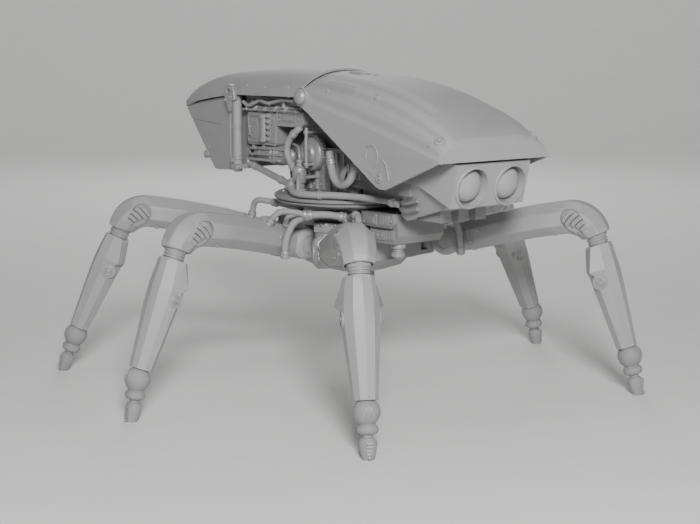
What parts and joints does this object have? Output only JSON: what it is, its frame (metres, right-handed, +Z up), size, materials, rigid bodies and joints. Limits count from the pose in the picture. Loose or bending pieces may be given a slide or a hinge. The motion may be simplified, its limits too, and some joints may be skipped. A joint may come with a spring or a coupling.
{
  "type": "hexapod spider robot",
  "caption": "Spider-like walking robot: jointed armoured legs round a low hub, a turning upper body with exposed machinery, twin domed eyes and a hinged wedge-shaped hood.",
  "frame": {"origin": "middle of the robot, left to right and front to back, on the ground under it", "axes": "+Z up, the head faces -Y and the robot's left side is +X"},
  "size_m": [0.4902, 0.4294, 0.2866],
  "materials": {
    "shell": "matte light grey moulded plastic",
    "limb": "matte light grey moulded plastic",
    "frame": "satin grey paint",
    "metal": "dull machined metal",
    "rubber": "matte grey rubber",
    "lens": "smooth opaque grey dome"
  },
  "bodies": {
    "hub": {"hub_frame": "frame", "hub_deck": "frame", "slew_ring": "metal", "front_block": "frame", "service_port": "metal"},
    "turret": {"column": "frame", "control_box": "frame", "damper_left": "metal", "damper_right": "metal", "equipment_box": "frame", "eye_lens_left": "lens", "eye_lens_right": "lens", "gear_drum_left": "metal", "gear_drum_right": "metal", "head_block": "shell", "hood_pin_left": "metal", "hood_pin_right": "metal", "mid_cowl": "shell", "motor_pod_left": "metal", "motor_pod_right": "metal", "neck_frame": "frame", "power_pack": "rubber", "spine": "frame", "strut_left": "metal", "strut_right": "metal", "tail_cowl": "shell", "tail_fairing_left": "shell", "tail_fairing_right": "shell", "turntable": "frame"},
    "hood_cover": {"hood": "shell"},
    "front_left_hip": {"front_left_coxa": "frame"},
    "front_left_thigh": {"front_left_femur": "limb", "front_left_elbow_bellows": "rubber"},
    "front_left_shank": {"front_left_tibia": "limb"},
    "front_left_ankle": {"front_left_foot": "rubber"},
    "front_right_hip": {"front_right_coxa": "frame"},
    "front_right_thigh": {"front_right_femur": "limb", "front_right_elbow_bellows": "rubber"},
    "front_right_shank": {"front_right_tibia": "limb"},
    "front_right_ankle": {"front_right_foot": "rubber"},
    "mid_left_hip": {"mid_left_coxa": "frame"},
    "mid_left_thigh": {"mid_left_femur": "limb", "mid_left_elbow_bellows": "rubber"},
    "mid_left_shank": {"mid_left_tibia": "limb"},
    "mid_left_ankle": {"mid_left_foot": "rubber"},
    "mid_right_hip": {"mid_right_coxa": "frame"},
    "mid_right_thigh": {"mid_right_femur": "limb", "mid_right_elbow_bellows": "rubber"},
    "mid_right_shank": {"mid_right_tibia": "limb"},
    "mid_right_ankle": {"mid_right_foot": "rubber"},
    "rear_left_hip": {"rear_left_coxa": "frame"},
    "rear_left_thigh": {"rear_left_femur": "limb", "rear_left_elbow_bellows": "rubber"},
    "rear_left_shank": {"rear_left_tibia": "limb"},
    "rear_left_ankle": {"rear_left_foot": "rubber"},
    "rear_right_hip": {"rear_right_coxa": "frame"},
    "rear_right_thigh": {"rear_right_femur": "limb", "rear_right_elbow_bellows": "rubber"},
    "rear_right_shank": {"rear_right_tibia": "limb"},
    "rear_right_ankle": {"rear_right_foot": "rubber"}
  },
  "joints": [
    {"name": "turret_yaw", "type": "hinge", "parent": "hub", "child": "turret", "pos_m": [0, 0.00353, 0.165], "axis": [0, 0, 1], "range_deg": [-15, 15]},
    {"name": "hood_lift", "type": "hinge", "parent": "turret", "child": "hood_cover", "pos_m": [0, 0.00353, 0.262], "axis": [-1, 0, 0], "range_deg": [0, 25]},
    {"name": "front_left_yaw", "type": "hinge", "parent": "hub", "child": "front_left_hip", "pos_m": [0.05907, -0.03521, 0.1308], "axis": [0, 0, 1], "range_deg": [-16, 16]},
    {"name": "front_left_lift", "type": "hinge", "parent": "front_left_hip", "child": "front_left_thigh", "pos_m": [0.0697, -0.05447, 0.1308], "axis": [-0.8755, -0.4833, 0], "range_deg": [-25, 22]},
    {"name": "front_left_knee", "type": "hinge", "parent": "front_left_thigh", "child": "front_left_shank", "pos_m": [0.13546, -0.17359, 0.14186], "axis": [-0.8755, -0.4833, 0], "range_deg": [-20, 25]},
    {"name": "front_left_toe", "type": "hinge", "parent": "front_left_shank", "child": "front_left_ankle", "pos_m": [0.1517, -0.20302, 0.0346], "axis": [-0.8755, -0.4833, 0], "range_deg": [-20, 20]},
    {"name": "front_right_yaw", "type": "hinge", "parent": "hub", "child": "front_right_hip", "pos_m": [-0.05907, -0.03521, 0.1308], "axis": [0, 0, 1], "range_deg": [-16, 16]},
    {"name": "front_right_lift", "type": "hinge", "parent": "front_right_hip", "child": "front_right_thigh", "pos_m": [-0.0697, -0.05447, 0.1308], "axis": [-0.8755, 0.4833, 0], "range_deg": [-25, 22]},
    {"name": "front_right_knee", "type": "hinge", "parent": "front_right_thigh", "child": "front_right_shank", "pos_m": [-0.13546, -0.17359, 0.14186], "axis": [-0.8755, 0.4833, 0], "range_deg": [-20, 25]},
    {"name": "front_right_toe", "type": "hinge", "parent": "front_right_shank", "child": "front_right_ankle", "pos_m": [-0.1517, -0.20302, 0.0346], "axis": [-0.8755, 0.4833, 0], "range_deg": [-20, 20]},
    {"name": "mid_left_yaw", "type": "hinge", "parent": "hub", "child": "mid_left_hip", "pos_m": [0.03429, 0.01312, 0.1308], "axis": [0, 0, 1], "range_deg": [-16, 16]},
    {"name": "mid_left_lift", "type": "hinge", "parent": "mid_left_hip", "child": "mid_left_thigh", "pos_m": [0.0562, 0.01113, 0.1308], "axis": [-0.0906, -0.9959, 0], "range_deg": [-25, 24]},
    {"name": "mid_left_knee", "type": "hinge", "parent": "mid_left_thigh", "child": "mid_left_shank", "pos_m": [0.19192, -0.00122, 0.13875], "axis": [-0.0906, -0.9959, 0], "range_deg": [-20, 25]},
    {"name": "mid_left_toe", "type": "hinge", "parent": "mid_left_shank", "child": "mid_left_ankle", "pos_m": [0.23402, -0.00505, 0.0346], "axis": [-0.0906, -0.9959, 0], "range_deg": [-20, 20]},
    {"name": "mid_right_yaw", "type": "hinge", "parent": "hub", "child": "mid_right_hip", "pos_m": [-0.03429, 0.01312, 0.1308], "axis": [0, 0, 1], "range_deg": [-16, 16]},
    {"name": "mid_right_lift", "type": "hinge", "parent": "mid_right_hip", "child": "mid_right_thigh", "pos_m": [-0.0562, 0.01113, 0.1308], "axis": [-0.0906, 0.9959, 0], "range_deg": [-25, 24]},
    {"name": "mid_right_knee", "type": "hinge", "parent": "mid_right_thigh", "child": "mid_right_shank", "pos_m": [-0.19192, -0.00122, 0.13875], "axis": [-0.0906, 0.9959, 0], "range_deg": [-20, 25]},
    {"name": "mid_right_toe", "type": "hinge", "parent": "mid_right_shank", "child": "mid_right_ankle", "pos_m": [-0.23402, -0.00505, 0.0346], "axis": [-0.0906, 0.9959, 0], "range_deg": [-20, 20]},
    {"name": "rear_left_yaw", "type": "hinge", "parent": "hub", "child": "rear_left_hip", "pos_m": [0.01653, 0.07844, 0.1308], "axis": [0, 0, 1], "range_deg": [-16, 16]},
    {"name": "rear_left_lift", "type": "hinge", "parent": "rear_left_hip", "child": "rear_left_thigh", "pos_m": [0.03423, 0.0915, 0.1308], "axis": [0.5934, -0.8049, 0], "range_deg": [-25, 16]},
    {"name": "rear_left_knee", "type": "hinge", "parent": "rear_left_thigh", "child": "rear_left_shank", "pos_m": [0.14399, 0.17242, 0.13706], "axis": [0.5934, -0.8049, 0], "range_deg": [-20, 25]},
    {"name": "rear_left_toe", "type": "hinge", "parent": "rear_left_shank", "child": "rear_left_ankle", "pos_m": [0.1812, 0.19985, 0.0346], "axis": [0.5934, -0.8049, 0], "range_deg": [-20, 20]},
    {"name": "rear_right_yaw", "type": "hinge", "parent": "hub", "child": "rear_right_hip", "pos_m": [-0.01653, 0.07844, 0.1308], "axis": [0, 0, 1], "range_deg": [-16, 16]},
    {"name": "rear_right_lift", "type": "hinge", "parent": "rear_right_hip", "child": "rear_right_thigh", "pos_m": [-0.0351, 0.09023, 0.1308], "axis": [0.5358, 0.8443, 0], "range_deg": [-25, 16]},
    {"name": "rear_right_knee", "type": "hinge", "parent": "rear_right_thigh", "child": "rear_right_shank", "pos_m": [-0.15024, 0.1633, 0.13706], "axis": [0.5358, 0.8443, 0], "range_deg": [-20, 25]},
    {"name": "rear_right_toe", "type": "hinge", "parent": "rear_right_shank", "child": "rear_right_ankle", "pos_m": [-0.18926, 0.18807, 0.0346], "axis": [0.5358, 0.8443, 0], "range_deg": [-20, 20]}
  ]
}
